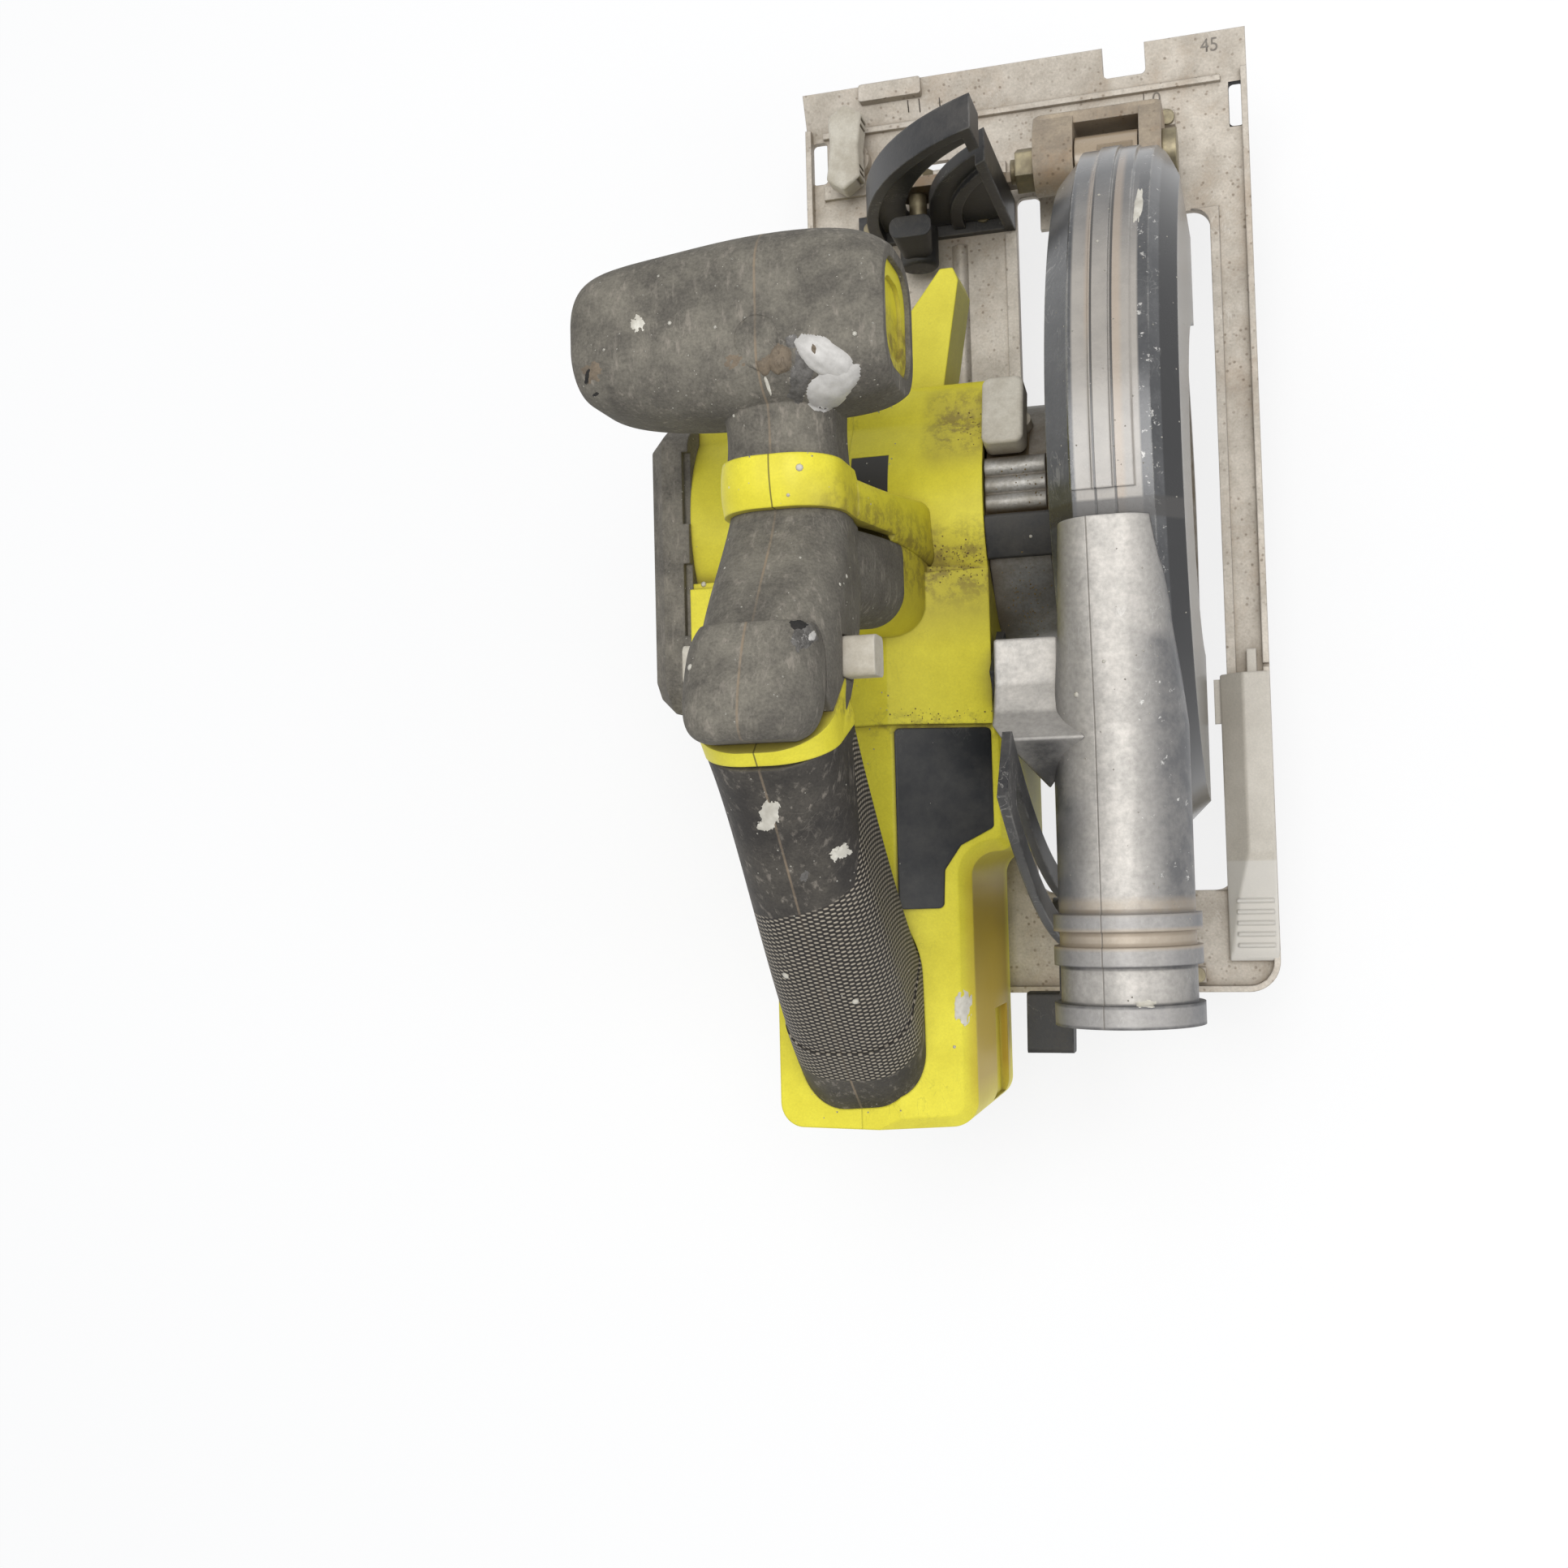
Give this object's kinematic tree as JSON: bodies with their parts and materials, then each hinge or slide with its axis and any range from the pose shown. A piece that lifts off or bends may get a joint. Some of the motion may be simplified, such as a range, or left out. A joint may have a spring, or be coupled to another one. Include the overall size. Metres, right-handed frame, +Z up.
{
  "type": "cordless circular saw",
  "caption": "Cordless circular saw with a stamped shoe, bevel and depth adjustment, sprung lower guard, dust chute, two soft handles and a battery port.",
  "frame": {"origin": "on the sole, in the blade plane, below the depth hinge", "axes": "+X to the blade side, +Y along the cutting direction, +Z up from the sole"},
  "size_m": [0.1785, 0.3491, 0.2712],
  "materials": {
    "yellow_plastic": "moulded, fine spark texture, dusty",
    "black_rubber": "matt overmould, dusty",
    "black_plastic": "moulded, matt",
    "beige_plastic": "moulded, matt",
    "grey_plastic": "moulded, semi matt",
    "clear_plastic": "polished lens",
    "cast_alloy": "die cast, blasted",
    "painted_alloy": "die cast, worn metallic paint",
    "black_steel": "black paint, worn",
    "shoe_steel": "zinc coated, rust tinted",
    "bright_steel": "zinc plated",
    "blade_steel": "ground",
    "winding_copper": "varnished"
  },
  "bodies": {
    "shoe": {"shoe_plate": "shoe_steel", "bevel_quadrant": "black_steel", "hinge_lugs": "shoe_steel", "hinge_pins": "bright_steel", "shoe_rivets": "bright_steel", "rail_cover": "grey_plastic"},
    "fence_knob": {"fence_knob": "beige_plastic", "fence_screw": "bright_steel"},
    "tilt_frame": {"front_yoke": "shoe_steel", "depth_bolt": "bright_steel", "depth_guide": "shoe_steel", "tilt_bracket": "shoe_steel"},
    "bevel_lever": {"bevel_lever": "black_plastic", "bevel_stud": "bright_steel"},
    "saw_head": {"upper_guard": "painted_alloy", "dust_chute": "grey_plastic", "gear_case": "cast_alloy", "gear_cover": "cast_alloy", "gear_shroud": "black_plastic", "guard_spring": "bright_steel", "motor_can": "bright_steel", "brushes": "black_plastic", "bearings": "bright_steel", "housing_right": "yellow_plastic", "housing_left": "yellow_plastic", "case_screws": "bright_steel", "motor_end_cap": "black_rubber", "blank_plate": "black_plastic", "light_arm": "yellow_plastic", "light_lens": "clear_plastic", "pommel_grip": "black_rubber", "pommel_core": "black_plastic", "pommel_insets": "yellow_plastic", "pommel_plug": "black_rubber", "pommel_collar": "yellow_plastic", "front_grip": "black_rubber", "hump_cover": "black_rubber", "grip_band": "yellow_plastic", "main_grip": "black_rubber", "grip_pad": "black_rubber", "grip_end_cap": "black_rubber", "battery_terminals": "winding_copper", "switch_body": "black_plastic"},
    "lower_guard": {"lower_guard": "cast_alloy", "guard_lever": "black_plastic"},
    "blade_spindle": {"spindle": "bright_steel", "drive_gear": "bright_steel", "inner_flange": "bright_steel", "outer_flange": "bright_steel", "blade_bolt": "bright_steel", "saw_blade": "blade_steel"},
    "rotor": {"pinion_shaft": "bright_steel", "armature": "bright_steel", "commutator": "winding_copper", "cooling_fan": "black_plastic"},
    "trigger": {"trigger": "black_plastic"},
    "lock_off_button": {"lock_off_button": "beige_plastic"},
    "spindle_lock": {"spindle_lock": "beige_plastic"},
    "depth_lever": {"depth_lever": "black_plastic", "depth_clamp_bolt": "bright_steel"}
  },
  "joints": [
    {"name": "fence_knob_turn", "type": "hinge", "parent": "shoe", "child": "fence_knob", "pos_m": [-0.0995, 0.02, 0.012], "axis": [0, 0, 1], "range_deg": [0, 270]},
    {"name": "bevel_tilt", "type": "hinge", "parent": "shoe", "child": "tilt_frame", "pos_m": [0, 0, 0.008], "axis": [0, 1, 0], "range_deg": [0, 50]},
    {"name": "bevel_lever_turn", "type": "hinge", "parent": "tilt_frame", "child": "bevel_lever", "pos_m": [-0.07459, -0.018, 0.01584], "axis": [0, 1, 0], "range_deg": [-60, 0]},
    {"name": "depth_swing", "type": "hinge", "parent": "tilt_frame", "child": "saw_head", "pos_m": [0, 0, 0.025], "axis": [-1, 0, 0], "range_deg": [0, 29]},
    {"name": "depth_lever_turn", "type": "hinge", "parent": "saw_head", "child": "depth_lever", "pos_m": [-0.03, -0.245, 0.024], "axis": [-1, 0, 0], "range_deg": [0, 60]},
    {"name": "lower_guard_swing", "type": "hinge", "parent": "saw_head", "child": "lower_guard", "pos_m": [0, -0.113, 0.032], "axis": [-1, 0, 0], "range_deg": [0, 110], "stiffness_Nm_per_rad": 0.2, "springref_deg": -51.57},
    {"name": "blade_spin", "type": "hinge", "parent": "saw_head", "child": "blade_spindle", "pos_m": [0, -0.113, 0.032], "axis": [1, 0, 0], "continuous": true},
    {"name": "rotor_spin", "type": "hinge", "parent": "saw_head", "child": "rotor", "pos_m": [-0.09, -0.12165, 0.05863], "axis": [1, 0, 0], "continuous": true},
    {"name": "trigger_pull", "type": "slide", "parent": "saw_head", "child": "trigger", "axis": [0, -0.6691, 0.7431], "range_m": [0, 0.006], "stiffness_N_per_m": 800, "springref_m": -0.004},
    {"name": "lock_off_push", "type": "slide", "parent": "saw_head", "child": "lock_off_button", "axis": [-1, 0, 0], "range_m": [0, 0.004], "stiffness_N_per_m": 600, "springref_m": -0.003},
    {"name": "spindle_lock_push", "type": "slide", "parent": "saw_head", "child": "spindle_lock", "axis": [0, -0.2419, -0.9703], "range_m": [0, 0.0035], "stiffness_N_per_m": 800, "springref_m": -0.003}
  ],
  "couplings": [
    {"joint": "rotor_spin", "follows": "blade_spin", "ratio": -4.6}
  ]
}
